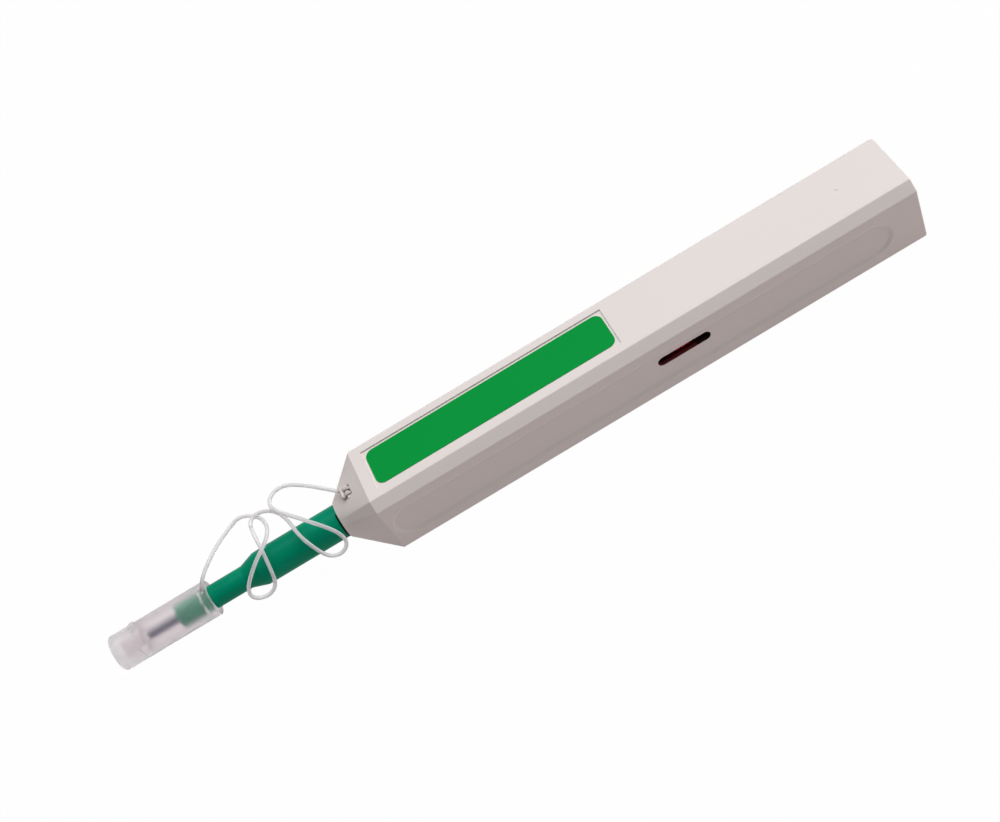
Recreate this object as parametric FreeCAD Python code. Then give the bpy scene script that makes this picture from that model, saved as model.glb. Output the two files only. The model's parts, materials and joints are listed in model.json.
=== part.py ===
import FreeCAD, Part
import math
import os

# Fibre connector cleaning pen: a push-to-clean tool for 2.5 mm ferrules.
# A thread runs from a supply reel, over a small tip and back to a take-up reel.
# Pushing the nozzle into the casing turns the take-up reel through a rack and
# pinion, and turns the tip through a cam pin in a spiral groove.
#
# Frame: +X points to the tail, +Z up through the label face, Z = 0 is the flat
# underside, and the origin lies under the middle of the overall length.
# All sizes are in millimetres and all angles in degrees.

Vec = FreeCAD.Vector
os.makedirs("parts", exist_ok=True)

# ---- casing -----------------------------------------------------------------
body_length = 153.0
body_width = 22.3
body_height = 22.0
body_chamfer = 2.5
edge_round = 0.5
tail_break = 0.3
wall = 1.8
nose_length = 10.0
ring_radius = 5.0
nose_block = 11.0
seam_height = 2.5
cover_thickness = 1.8
tongue_thickness = 1.0
tongue_height = 1.6
hook_length = 4.0
hook_depth = 0.4
hook_height = 0.9
hook_pitch = 46.0
hook_count = 3
grip_width = 11.0
grip_depth = 0.5
grip_wall_slope = 0.9
grip_setback = 1.0
grip_margin = 8.4
slot_length = 15.0
slot_height = 3.0
label_length = 68.5
label_width = 11.45
label_thickness = 0.15
label_corner = 2.3
label_setback = 3.7
label_offset = 0.3
label_border = 0.7
recess_depth = 0.4
dimple_radius = 0.5
dimple_depth = 0.1
dimple_setback = 15.6

# ---- nozzle, cap and tip ------------------------------------------------------
nozzle_large_radius = 4.58
nozzle_large_length = 24.3
nozzle_neck_length = 4.2
nozzle_small_radius = 3.16
nozzle_small_length = 19.8
nozzle_bore = 3.4
nozzle_tip_gap = 0.3
nozzle_front_bore_length = 16.0
nozzle_flange_radius = 6.6
nozzle_flange_length = 2.0
tip_radius = 1.25
tip_reach = 9.3
tip_stem_radius = 0.75
tip_stem_length = 4.5
tip_travel = 0.8
shaft_inset = 1.0
cap_radius = 4.9
cap_wall = 1.0
cap_length = 21.5
cap_overlap = 9.8
cap_collar = 2.0
cap_web = 1.4
lid_length = 7.0
lid_wall = 0.7
lid_front = 1.2
lid_step = 0.8
spigot_radius = 3.1
spigot_length = 4.2
ferrule_bore = 2.55
bore_lead = 0.4
strap_angle = 60.0
strap_spread = 28.0
strap_length = 1.6
strap_rise = 0.45
tether_hole_depth = 1.0

# ---- carriage and feed ----------------------------------------------------------
stroke = 12.0
carriage_half_width = 7.9
carriage_floor = 1.5
rail_thickness = 1.3
rail_clearance = 0.8
reel_clearance = 0.4
wall_clearance = 1.1
socket_length = 6.0
bearing_wall = 4.0
plate_thickness = 1.2
plate_gap = 0.7
rear_wall = 2.0
peg_radius = 0.8
drum_radius = 3.6
drum_length = 19.0
drum_turn = 180.0
drum_margin = 3.5
journal_length = 12.5
groove_depth = 1.1
cam_pin_radius = 0.6
cam_setback = 29.0
cam_boss_radius = 2.0
shaft_radius = 1.25
journal_radius = 1.6
axle_radius = 1.5
supply_boss_radius = 2.4
takeup_boss_radius = 2.6
plate_boss_radius = 2.8
supply_setback = 57.5
supply_radius = 8.0
supply_height = 5.6
supply_fill = 7.0
takeup_spacing = 27.2
takeup_radius = 8.4
takeup_fill = 4.8
dial_thickness = 3.0
flange_thickness = 0.8
takeup_thread_height = 2.3
clutch_seat = 0.6
hub_radius = 3.0
gear_module = 0.75
gear_teeth = 16
gear_thickness = 2.2
gear_backlash = 0.12
pressure_angle = 20.0
rack_length = 32.0
rack_body = 1.3
knurl_count = 36
knurl_depth = 0.35
ratchet_teeth = 12
ratchet_radius = 3.9
clutch_radius = 5.0
thread_size = 0.3
thread_offset = 0.82
thread_pin_radius = 0.6

# ---- springs and fits -------------------------------------------------------------
spring_radius = 5.0
spring_wire = 0.8
spring_turns = 9
spigot_seat_radius = 4.1
spigot_seat_length = 3.8
tip_spring_radius = 0.5
tip_spring_wire = 0.16
tip_spring_turns = 4
tip_spring_room = 2.0
running_gap = 0.06
loose_gap = 0.1
seam_gap = 0.05
slide_gap = 0.3

# ---- tether -------------------------------------------------------------------------
tether_diameter = 1.0
tether_sides = 5
eyelet_setback = 4.6
eyelet_offset = 0.2
eyelet_sink = 0.3
eyelet_bar = 0.9
eyelet_width = 3.2
eyelet_root = 0.4
knot_radius = 0.95
knot_spacing = 1.6
knot_bends = 10
hitch_reach = 1.35
hitch_angle = 15.0

# ---- places worked out from the sizes above --------------------------------------------
nozzle_reach = nozzle_large_length + nozzle_neck_length + nozzle_small_length
overall_length = body_length + nose_length + nozzle_reach - cap_overlap + cap_length + lid_length
axis_z = body_height / 2.0
half_width = body_width / 2.0
tail_x = overall_length / 2.0
shoulder_x = tail_x - body_length
ring_x = shoulder_x - nose_length
nose_back_x = ring_x + nose_block
tail_wall_x = tail_x - wall
neck_rear_x = ring_x - nozzle_large_length
neck_front_x = neck_rear_x - nozzle_neck_length
nozzle_front_x = neck_front_x - nozzle_small_length
tip_front_x = nozzle_front_x - tip_reach
cap_rear_x = nozzle_front_x + cap_overlap
cap_front_x = cap_rear_x - cap_length
lid_front_x = cap_front_x - lid_length
inner_top = body_height - wall
inner_half = half_width - wall
carriage_bottom = seam_height + 0.5
deck_z = carriage_bottom + carriage_floor
socket_x = nose_back_x + nozzle_flange_length + loose_gap
cam_x = nose_back_x + cam_setback
drum_front_x = cam_x - drum_length + drum_margin
shaft_tail_x = drum_front_x + drum_length + journal_length
bearing_x = shaft_tail_x - bearing_wall
supply_x = nose_back_x + supply_setback
takeup_x = supply_x + takeup_spacing
rear_wall_x = takeup_x + takeup_radius + wall_clearance
carriage_tail_x = rear_wall_x + rear_wall
plate_bottom = inner_top - plate_gap - plate_thickness
pitch_radius = gear_module * gear_teeth / 2.0
gear_z = deck_z + reel_clearance
reel_z = gear_z + gear_thickness + reel_clearance
thread_seat_z = reel_z + flange_thickness + clutch_seat
dial_z = thread_seat_z + takeup_thread_height
used_line_z = (thread_seat_z + dial_z) / 2.0
supply_z = plate_bottom - reel_clearance - supply_height
slot_x = takeup_x
slot_z = dial_z + dial_thickness / 2.0
shaft_front_x = nozzle_front_x + shaft_inset
stem_end_x = nozzle_front_x + tip_stem_length
socket_end_x = stem_end_x + tip_spring_room
rack_front_x = takeup_x + stroke / 2.0 - rack_length / 2.0
rail_end_x = rack_front_x - stroke - 0.5
used_pin = (shaft_tail_x + 4.6, -2.4)
feed_pin = (shaft_tail_x + 2.05, thread_size / 2.0 + loose_gap + thread_pin_radius - supply_fill
            - thread_size)
feed_line_z = supply_z + supply_height / 2.0


def box(x0, x1, y0, y1, z0, z1):
    """A block between two opposite corners."""
    return Part.makeBox(x1 - x0, y1 - y0, z1 - z0, Vec(x0, y0, z0))


def rod_x(x0, x1, radius, y=0.0, z=axis_z):
    """A round bar along X."""
    return Part.makeCylinder(radius, x1 - x0, Vec(x0, y, z), Vec(1, 0, 0))


def rod_z(x, y, z0, z1, radius):
    """A round bar along Z."""
    return Part.makeCylinder(radius, z1 - z0, Vec(x, y, z0), Vec(0, 0, 1))


def turned_x(profile):
    """A turned piece about the pen's axis, from (x, radius) corners."""
    points = [Vec(x, 0, axis_z + radius) for x, radius in profile]
    face = Part.Face(Part.makePolygon(points + [points[0]]))
    return face.revolve(Vec(0, 0, axis_z), Vec(1, 0, 0), 360)


def turned_z(x, y, profile):
    """A turned piece about a vertical line, from (radius, z) corners."""
    points = [Vec(x + radius, y, z) for radius, z in profile]
    face = Part.Face(Part.makePolygon(points + [points[0]]))
    return face.revolve(Vec(x, y, 0), Vec(0, 0, 1), 360)


def plate_z(points, z0, z1):
    """A flat plate from its (x, y) corners."""
    corners = [Vec(x, y, z0) for x, y in points]
    face = Part.Face(Part.makePolygon(corners + [corners[0]]))
    return face.extrude(Vec(0, 0, z1 - z0))


def ring_z(x, y, z0, z1, outer, inner):
    """A flat ring about a vertical line."""
    return rod_z(x, y, z0, z1, outer).cut(rod_z(x, y, z0, z1, inner))


def about_axis(shape, angle):
    """The shape turned about the pen's axis."""
    turned = shape.copy()
    turned.rotate(Vec(0, 0, axis_z), Vec(1, 0, 0), angle)
    return turned


# ---- casing section -------------------------------------------------------------------
def section_corners(inset):
    """The eight corners of the chamfered square section, in (y, z)."""
    y = half_width - inset
    z = body_height / 2.0 - inset
    cut = body_chamfer - inset * (2.0 - math.sqrt(2.0))
    quarter = [(y, -(z - cut)), (y, z - cut), (y - cut, z), (-(y - cut), z)]
    return quarter + [(-a, -b) for a, b in quarter]


def rounded_section(x, inset=0.0):
    """The outer section at x, its corners rounded: eight flats and eight arcs."""
    corners = [Vec(x, y, axis_z + z) for y, z in section_corners(inset)]
    count = len(corners)
    edges = []
    for i in range(count):
        before = corners[i - 1]
        here = corners[i]
        after = corners[(i + 1) % count]
        back = (before - here).normalize()
        ahead = (after - here).normalize()
        half = back.getAngle(ahead) / 2.0
        trim = edge_round / math.tan(half)
        centre = here + (back + ahead).normalize() * (edge_round / math.sin(half))
        middle = centre + (here - centre).normalize() * edge_round
        edges.append((here + back * trim, middle, here + ahead * trim))
    wire = []
    for i in range(count):
        start, middle, end = edges[i]
        wire.append(Part.Arc(start, middle, end).toShape())
        wire.append(Part.LineSegment(end, edges[(i + 1) % count][0]).toShape())
    return wire, edges


def ring_section(x, radius, edges):
    """A circle at x, split where the rays through the section's corners cross it."""
    angles = []
    for start, middle, end in edges:
        angles.append(math.atan2(start.z - axis_z, start.y))
        angles.append(math.atan2(end.z - axis_z, end.y))
    wire = []
    for i, first in enumerate(angles):
        last = angles[(i + 1) % len(angles)]
        while last < first:
            last += 2.0 * math.pi
        stops = [first, (first + last) / 2.0, last]
        marks = [Vec(x, radius * math.cos(a), axis_z + radius * math.sin(a)) for a in stops]
        wire.append(Part.Arc(marks[0], marks[1], marks[2]).toShape())
    return wire


def casing_body():
    """The closed outer form: a chamfered bar with a nose tapering to a ring."""
    shoulder, edges = rounded_section(shoulder_x)
    bar = Part.Face(Part.Wire(shoulder)).extrude(Vec(body_length - tail_break, 0, 0))
    ring = ring_section(ring_x, ring_radius, edges)
    nose = Part.makeLoft([Part.Wire(ring), Part.Wire(shoulder)], True, True)
    before, _ = rounded_section(tail_x - tail_break)
    end, _ = rounded_section(tail_x, tail_break)
    tail = Part.makeLoft([Part.Wire(before), Part.Wire(end)], True, True)
    return bar.fuse(nose).fuse(tail)


def stadium_y(x, z, y0, y1, length, height):
    """A slot through a side wall, with round ends."""
    radius = height / 2.0
    reach = length / 2.0 - radius
    slot = box(x - reach, x + reach, y0, y1, z - radius, z + radius)
    for end in (x - reach, x + reach):
        slot = slot.fuse(Part.makeCylinder(radius, y1 - y0, Vec(end, y0, z), Vec(0, 1, 0)))
    return slot


def stadium_wire(y, half, front, rear):
    """A closed long round-ended outline about the grip's middle line, at y."""
    quarter = [Vec(front, y, axis_z + half), Vec(rear, y, axis_z + half),
               Vec(rear, y, axis_z - half), Vec(front, y, axis_z - half)]
    rear_end = Part.Arc(quarter[1], Vec(rear + half, y, axis_z), quarter[2]).toShape()
    front_end = Part.Arc(quarter[3], Vec(front - half, y, axis_z), quarter[0]).toShape()
    return Part.Wire([Part.LineSegment(quarter[0], quarter[1]).toShape(), rear_end,
                      Part.LineSegment(quarter[2], quarter[3]).toShape(), front_end])


def grip_recess(side):
    """The shallow grip: a long recess with a flat floor and sloping walls."""
    half = grip_width / 2.0
    front = shoulder_x + grip_setback + half
    rear = tail_x - grip_margin - half
    proud = grip_depth * 0.5
    flare = grip_wall_slope * (1.0 + proud / grip_depth)
    floor = stadium_wire(side * (half_width - grip_depth), half - grip_wall_slope, front, rear)
    rim = stadium_wire(side * (half_width + proud), half - grip_wall_slope + flare, front, rear)
    return Part.makeLoft([floor, rim], True, True)


def hook_places():
    """The x of each cover hook, spaced about the middle of the cover."""
    middle = (nose_back_x + tail_wall_x) / 2.0
    first = middle - hook_pitch * (hook_count - 1) / 2.0
    return [first + hook_pitch * i for i in range(hook_count)]


def label_centre():
    """The middle of the label along X."""
    return shoulder_x + label_setback + label_length / 2.0


def eyelet_place():
    """The middle of the tether eyelet's bar, just under the sloping top of the nose."""
    x = shoulder_x - eyelet_setback
    slope = (body_height / 2.0 - ring_radius) / nose_length
    surface = axis_z + ring_radius + slope * (x - ring_x)
    return Vec(x, eyelet_offset, surface - eyelet_sink)


def cut_eyelet(shell):
    """A round channel in the nose with a bar left across it for the tether."""
    place = eyelet_place()
    reach = knot_radius + tether_diameter / 2.0 + loose_gap
    half = eyelet_width / 2.0
    root = half + eyelet_root
    channel = Part.makeCylinder(reach, 2.0 * half, place - Vec(0, half, 0), Vec(0, 1, 0))
    bar = Part.makeCylinder(eyelet_bar / 2.0, 2.0 * root, place - Vec(0, root, 0), Vec(0, 1, 0))
    return shell.cut(channel).fuse(bar)


def casing_shell():
    """Top, sides, nose and tail of the casing in one moulding."""
    cavity_wire = [Vec(nose_back_x, y, axis_z + z) for y, z in section_corners(wall)]
    cavity = Part.Face(Part.makePolygon(cavity_wire + [cavity_wire[0]]))
    cavity = cavity.extrude(Vec(tail_wall_x - nose_back_x, 0, 0))
    mouth = box(nose_back_x, tail_wall_x, -half_width, half_width, -1.0, seam_height)
    below = box(nose_back_x, tail_wall_x, -inner_half, inner_half, 0.0, axis_z)
    shell = casing_body().cut(cavity).cut(mouth).cut(below)
    shell = shell.cut(rod_x(ring_x - 1.0, nose_back_x + 1.0, nozzle_large_radius + running_gap))
    for side in (-1, 1):
        shell = shell.cut(grip_recess(side))
    shell = shell.cut(stadium_y(slot_x, slot_z, -half_width - 1, -inner_half + 1,
                                slot_length, slot_height))
    middle = label_centre()
    long_half = label_length / 2.0 + label_border
    wide_half = label_width / 2.0 + label_border
    shell = shell.cut(box(middle - long_half, middle + long_half, label_offset - wide_half,
                          label_offset + wide_half, body_height - recess_depth, body_height + 1))
    shell = shell.cut(rod_z(tail_x - dimple_setback, 0, body_height - dimple_depth,
                            body_height + 1, dimple_radius))
    shell = shell.fuse(rod_z(cam_x, 0, plate_bottom - 1.2, inner_top + 0.5, cam_boss_radius))
    shell = shell.cut(rod_z(cam_x, 0, plate_bottom - 2.0, inner_top, cam_pin_radius))
    shell = shell.fuse(rod_x(tail_wall_x - spigot_seat_length, tail_wall_x + 0.5,
                             spigot_seat_radius))
    for x in hook_places():
        reach = hook_length / 2.0 + 0.2
        depth = inner_half + hook_depth + seam_gap
        low = seam_height + tongue_height - hook_height - 0.1
        pocket = box(x - reach, x + reach, -depth, depth, low, low + hook_height + 0.2)
        shell = shell.cut(pocket)
    return cut_eyelet(shell).removeSplitter()


def hook(x, side):
    """One snap hook on the cover's tongue: flat below, sloping above."""
    root = inner_half - loose_gap - tongue_thickness / 2.0
    face = inner_half - loose_gap
    low = seam_height + tongue_height - hook_height
    top = seam_height + tongue_height
    outline = [(root, low), (face + hook_depth, low), (face, top), (root, top)]
    points = [Vec(x - hook_length / 2.0, side * y, z) for y, z in outline]
    return Part.Face(Part.makePolygon(points + [points[0]])).extrude(Vec(hook_length, 0, 0))


def casing_cover():
    """The bottom cover: floor, lower chamfers, tongues with hooks and slide rails."""
    x0 = nose_back_x + seam_gap
    x1 = tail_wall_x - seam_gap
    slab = box(x0, x1, -half_width, half_width, -1.0, seam_height)
    cover = casing_body().common(slab)
    inner = inner_half - loose_gap - tongue_thickness
    cover = cover.cut(box(x0 + 1.0, x1 - 1.0, -inner, inner, cover_thickness, seam_height + 1))
    for side in (-1, 1):
        near = side * inner
        far = side * (inner + tongue_thickness)
        y0, y1 = min(near, far), max(near, far)
        cover = cover.fuse(box(x0 + 1.0, x1 - 1.0, y0, y1, cover_thickness,
                               seam_height + tongue_height))
        rail = box(x0 + 1.0, carriage_tail_x + stroke, side * 4.5 - 0.5, side * 4.5 + 0.5,
                   cover_thickness - 0.2, carriage_bottom - seam_gap)
        cover = cover.fuse(rail)
        for x in hook_places():
            cover = cover.fuse(hook(x, side))
    return cover.removeSplitter()


def label():
    """The stuck-on label, a plain sheet with round corners."""
    x = label_centre()
    half = label_length / 2.0
    wide = label_width / 2.0
    z = body_height - recess_depth
    sheet = box(x - half, x + half, label_offset - wide, label_offset + wide, z,
                z + label_thickness)
    corners = [e for e in sheet.Edges if abs(e.Vertexes[0].Z - e.Vertexes[1].Z) > 0.01]
    return sheet.makeFillet(label_corner, corners)


def cam_pin():
    """The steel pin that runs in the drum's spiral groove."""
    bottom = axis_z + drum_radius - groove_depth + loose_gap
    return rod_z(cam_x, 0, bottom, inner_top, cam_pin_radius)


# ---- gears --------------------------------------------------------------------------------
def involute(base, radius):
    """The angle that an involute has turned through at a radius."""
    ratio = base / radius
    slant = math.acos(ratio)
    return math.tan(slant) - slant


def pinion_outline(steps=4):
    """A spur gear's outline with involute flanks and one tooth on +Y."""
    base = pitch_radius * math.cos(math.radians(pressure_angle))
    outer = pitch_radius + gear_module
    root = pitch_radius - 1.25 * gear_module
    half_pitch = math.pi / (2.0 * gear_teeth) - gear_backlash / (2.0 * pitch_radius)
    start = max(base, root)
    flank = []
    for i in range(steps + 1):
        radius = start + (outer - start) * i / steps
        angle = half_pitch + involute(base, pitch_radius) - involute(base, radius)
        flank.append((radius, angle))
    tooth = [(root, flank[0][1])] + flank
    points = []
    for k in range(gear_teeth):
        middle = math.pi / 2.0 + 2.0 * math.pi * k / gear_teeth
        for radius, angle in tooth:
            points.append((radius, middle - angle))
        for radius, angle in reversed(tooth):
            points.append((radius, middle + angle))
    return [(takeup_x + r * math.cos(a), r * math.sin(a)) for r, a in points]


def saw_ring(teeth, outer, inner, z0, z1):
    """A small ratchet wheel with one steep and one sloping side to each tooth."""
    points = []
    for k in range(teeth):
        turn = 2.0 * math.pi * k / teeth
        points.append((takeup_x + outer * math.cos(turn), outer * math.sin(turn)))
        points.append((takeup_x + inner * math.cos(turn), inner * math.sin(turn)))
    points = points[1:] + points[:1]
    return plate_z(points, z0, z1)


def drive_pinion():
    """The pinion, with the ratchet wheel that drives the take-up reel on its top."""
    gear = plate_z(pinion_outline(), gear_z, gear_z + gear_thickness)
    wheel = saw_ring(ratchet_teeth, ratchet_radius, ratchet_radius - 0.6, gear_z + gear_thickness,
                     reel_z + flange_thickness - 0.1)
    bore = rod_z(takeup_x, 0, gear_z - 1, reel_z + 2, axle_radius + running_gap)
    return gear.fuse(wheel).cut(bore)


def feed_rack():
    """The rack on the casing wall: the pinion rolls along it as the carriage slides."""
    pitch = math.pi * gear_module
    slant = math.tan(math.radians(pressure_angle))
    half = pitch / 4.0 - gear_backlash / 4.0
    tip_y = pitch_radius - 0.9 * gear_module
    root_y = pitch_radius + 1.25 * gear_module
    first = rack_front_x
    last = first + rack_length
    count = int(rack_length / pitch)
    start = -int((takeup_x - first) / pitch)
    points = [(first, inner_half), (first, root_y)]
    for k in range(start, start + count - 1):
        middle = takeup_x + (k + 0.5) * pitch
        root_half = half + (root_y - pitch_radius) * slant
        tip_half = half - (pitch_radius - tip_y) * slant
        points.append((middle - root_half, root_y))
        points.append((middle - tip_half, tip_y))
        points.append((middle + tip_half, tip_y))
        points.append((middle + root_half, root_y))
    points += [(last, root_y), (last, inner_half)]
    return plate_z(points, gear_z - 0.2, gear_z + gear_thickness + 0.2)


# ---- reels ------------------------------------------------------------------------------------
def takeup_reel():
    """The take-up reel: thread space below, knurled dial above, clutch recess under it."""
    bottom = reel_z
    dial_top = dial_z + dial_thickness
    bore = axle_radius + running_gap
    reel = turned_z(takeup_x, 0, [
        (bore, bottom), (takeup_radius - 0.6, bottom),
        (takeup_radius - 0.6, bottom + flange_thickness),
        (hub_radius + 0.5, bottom + flange_thickness), (hub_radius + 0.5, dial_z),
        (hub_radius + 0.8, dial_z), (hub_radius + 0.8, dial_top), (bore, dial_top)])
    recess = rod_z(takeup_x, 0, bottom - 1, bottom + flange_thickness, clutch_radius)
    seat = ring_z(takeup_x, 0, bottom + flange_thickness, thread_seat_z, clutch_radius + 0.6,
                  axle_radius + running_gap)
    rim = []
    for k in range(knurl_count):
        turn = 2.0 * math.pi * k / knurl_count
        for part, radius in ((-0.3, takeup_radius), (0.3, takeup_radius),
                             (0.5, takeup_radius - knurl_depth)):
            angle = turn + part * 2.0 * math.pi / knurl_count
            rim.append((takeup_x + radius * math.cos(angle), radius * math.sin(angle)))
    dial = plate_z(rim, dial_z, dial_top)
    dial = dial.cut(rod_z(takeup_x, 0, dial_z - 1, dial_top + 1, hub_radius + 0.4))
    return reel.cut(recess).fuse(seat).fuse(dial)


def clutch_pawls():
    """The clutch ring in the reel's recess, with two sprung pawls round the ratchet."""
    z0 = reel_z + 0.1
    z1 = reel_z + flange_thickness
    inner = clutch_radius - 0.55
    tip = ratchet_radius + 0.08
    ring = ring_z(takeup_x, 0, z0, z1, clutch_radius, inner)
    for turn in (0.0, 180.0):
        arm = plate_z([(takeup_x + inner + 0.15, -0.9), (takeup_x + inner + 0.15, 0.9),
                       (takeup_x + tip, 1.5), (takeup_x + tip, 1.1)], z0, z1)
        arm.rotate(Vec(takeup_x, 0, 0), Vec(0, 0, 1), turn)
        ring = ring.fuse(arm)
    return ring


def supply_reel():
    """The plain supply bobbin."""
    top = supply_z + supply_height
    bore = axle_radius + running_gap
    return turned_z(supply_x, 0, [
        (bore, supply_z), (supply_radius, supply_z),
        (supply_radius, supply_z + flange_thickness),
        (hub_radius, supply_z + flange_thickness), (hub_radius, top - flange_thickness),
        (supply_radius, top - flange_thickness), (supply_radius, top), (bore, top)])


def thread_pack(x, z0, z1, outer, inner):
    """The turns of thread wound on a reel, as one solid."""
    return ring_z(x, 0, z0, z1, outer, inner)


# ---- carriage -------------------------------------------------------------------------------------
def nozzle_tube():
    """The green nozzle: wide tube, neck, narrow tube, and a stop flange inside."""
    front_bore = tip_radius + nozzle_tip_gap
    step_x = nozzle_front_x + nozzle_front_bore_length
    rear_x = socket_x + socket_length
    return turned_x([
        (nozzle_front_x, front_bore), (nozzle_front_x, nozzle_small_radius - 0.2),
        (nozzle_front_x + 0.2, nozzle_small_radius), (neck_front_x, nozzle_small_radius),
        (neck_rear_x, nozzle_large_radius), (nose_back_x + loose_gap, nozzle_large_radius),
        (nose_back_x + loose_gap, nozzle_flange_radius),
        (socket_x, nozzle_flange_radius), (socket_x, nozzle_large_radius),
        (rear_x, nozzle_large_radius), (rear_x, nozzle_bore),
        (neck_rear_x + 3.0, nozzle_bore), (neck_front_x, 2.2), (step_x, 2.2),
        (step_x, front_bore)])


def carriage_base():
    """The sliding chassis: nozzle socket, side rails, shaft bearing, reel deck."""
    width = carriage_half_width
    base = box(socket_x, carriage_tail_x, -width, width, carriage_bottom, deck_z)
    socket = box(socket_x, socket_x + socket_length, -width, width, carriage_bottom,
                 plate_bottom)
    base = base.fuse(socket)
    for side in (-1, 1):
        near, far = side * (width - rail_thickness), side * width
        base = base.fuse(box(socket_x, rail_end_x, min(near, far), max(near, far),
                             carriage_bottom, supply_z - rail_clearance))
    base = base.fuse(box(bearing_x, shaft_tail_x, -width, width, carriage_bottom, plate_bottom))
    tail_y = pitch_radius - gear_module - 0.7
    base = base.fuse(box(rear_wall_x, carriage_tail_x, -width, tail_y, carriage_bottom,
                         plate_bottom))
    base = base.fuse(rod_x(carriage_tail_x, carriage_tail_x + spigot_seat_length,
                           spigot_seat_radius))
    base = base.cut(rod_x(socket_x - 1, socket_x + socket_length + 1,
                          nozzle_large_radius + seam_gap))
    base = base.cut(rod_x(bearing_x - 1, shaft_tail_x + 1, journal_radius + running_gap))
    for x, y in peg_places():
        base = base.fuse(rod_z(x, y, plate_bottom - 1.0, plate_bottom + plate_thickness,
                               peg_radius))
    for x in (supply_x, takeup_x):
        base = base.cut(rod_z(x, 0, carriage_bottom - 1, deck_z + 1, axle_radius))
    for x, y in (used_pin, feed_pin):
        base = base.cut(rod_z(x, y, carriage_bottom + 0.3, plate_bottom, thread_pin_radius))
    base = base.fuse(ring_z(takeup_x, 0, deck_z, gear_z - loose_gap, takeup_boss_radius,
                            axle_radius))
    base = base.fuse(ring_z(supply_x, 0, deck_z, supply_z - loose_gap, supply_boss_radius,
                            axle_radius))
    return base.removeSplitter()


def peg_places():
    """Where the plate's locating pegs stand: two at the bearing wall, two at the rear wall."""
    front = bearing_x + bearing_wall / 2.0
    rear = rear_wall_x + rear_wall / 2.0
    return [(front, -5.0), (front, 5.0), (rear, -5.5), (rear, 2.5)]


def carriage_plate():
    """The top plate that steadies both axles."""
    top = plate_bottom + plate_thickness
    plate = box(bearing_x, carriage_tail_x, -carriage_half_width, carriage_half_width,
                plate_bottom, top)
    boss = rod_z(takeup_x, 0, dial_z + dial_thickness + loose_gap, plate_bottom + 0.5,
                 plate_boss_radius)
    plate = plate.fuse(boss)
    upright = [e for e in plate.Edges if abs(e.Vertexes[0].Z - e.Vertexes[-1].Z) > 0.9
               and abs(abs(e.Vertexes[0].Y) - carriage_half_width) < 0.01]
    plate = plate.makeChamfer(1.2, upright)
    for x in (supply_x, takeup_x):
        plate = plate.cut(rod_z(x, 0, dial_z, top + 1, axle_radius))
    for x, y in peg_places():
        plate = plate.cut(rod_z(x, y, plate_bottom - 1, top + 1, peg_radius + seam_gap))
    return plate


def axle(x):
    """A steel axle pressed into the chassis and the top plate."""
    return rod_z(x, 0, carriage_bottom + 0.3, plate_bottom + plate_thickness, axle_radius)


def shaft_bush():
    """The ring that centres the shaft in the nozzle's wide bore."""
    x0 = ring_x + 2.0
    return rod_x(x0, x0 + 4.0, nozzle_bore).cut(rod_x(x0 - 1, x0 + 5, shaft_radius + running_gap))


# ---- tip ----------------------------------------------------------------------------------------------
def thread_channels(x0, x1):
    """The two grooves that carry the thread along the shaft and the tip."""
    half = thread_size / 2.0 + loose_gap
    reach = 9.0
    upper = box(x0, x1, -half, half, axis_z + thread_offset - 0.02, axis_z + reach)
    lower = box(x0, x1, -half, half, axis_z - reach, axis_z - thread_offset + 0.02)
    return upper.fuse(lower)


def spiral_groove():
    """The drum's groove: half a turn over the stroke, with a little more at each end."""
    spare = 1.0
    lead = stroke * 360.0 / drum_turn
    length = stroke + 2.0 * spare
    path = Part.makeHelix(lead, length, drum_radius)
    floor = drum_radius - groove_depth
    slant = floor / math.hypot(floor, lead / (2.0 * math.pi))
    half = (cam_pin_radius + loose_gap) / slant
    corners = [Vec(floor, 0, -half), Vec(drum_radius + 1, 0, -half),
               Vec(drum_radius + 1, 0, half), Vec(floor, 0, half)]
    profile = Part.makePolygon(corners + [corners[0]])
    groove = Part.Wire(path.Edges).makePipeShell([profile], True, True)
    groove.rotate(Vec(0, 0, 0), Vec(0, 0, 1), -drum_turn - spare * 360.0 / lead)
    groove.rotate(Vec(0, 0, 0), Vec(1, 1, 1), 120)
    groove.rotate(Vec(0, 0, 0), Vec(1, 0, 0), 90)
    groove.translate(Vec(cam_x - stroke - spare, 0, axis_z))
    return groove


def tip_shaft():
    """The turning shaft: slotted socket in front, spiral drum and journal behind."""
    drum_rear_x = drum_front_x + drum_length
    shaft = turned_x([
        (shaft_front_x, 0.0), (shaft_front_x, shaft_radius), (drum_front_x, shaft_radius),
        (drum_front_x + 0.4, drum_radius), (drum_rear_x - 0.4, drum_radius),
        (drum_rear_x, journal_radius), (shaft_tail_x, journal_radius), (shaft_tail_x, 0.0)])
    shaft = shaft.cut(spiral_groove())
    shaft = shaft.cut(rod_x(shaft_front_x - 1, socket_end_x, tip_stem_radius + running_gap))
    rod_cut = thread_channels(shaft_front_x - 1, drum_front_x)
    drum_cut = thread_channels(drum_front_x, shaft_tail_x + 1).common(
        rod_x(drum_front_x, shaft_tail_x + 1, thread_offset + thread_size + loose_gap))
    return shaft.cut(rod_cut).cut(drum_cut)


def cleaning_tip():
    """The sprung tip that meets the ferrule, with a slot each side for the thread."""
    rear_x = nozzle_front_x
    tip = turned_x([
        (tip_front_x, 0.0), (tip_front_x, tip_radius - 0.2), (tip_front_x + 0.2, tip_radius),
        (rear_x, tip_radius), (rear_x, tip_stem_radius), (stem_end_x, tip_stem_radius),
        (stem_end_x, 0.0)])
    return tip.cut(thread_channels(tip_front_x - 1, rear_x + 0.01))


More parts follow.
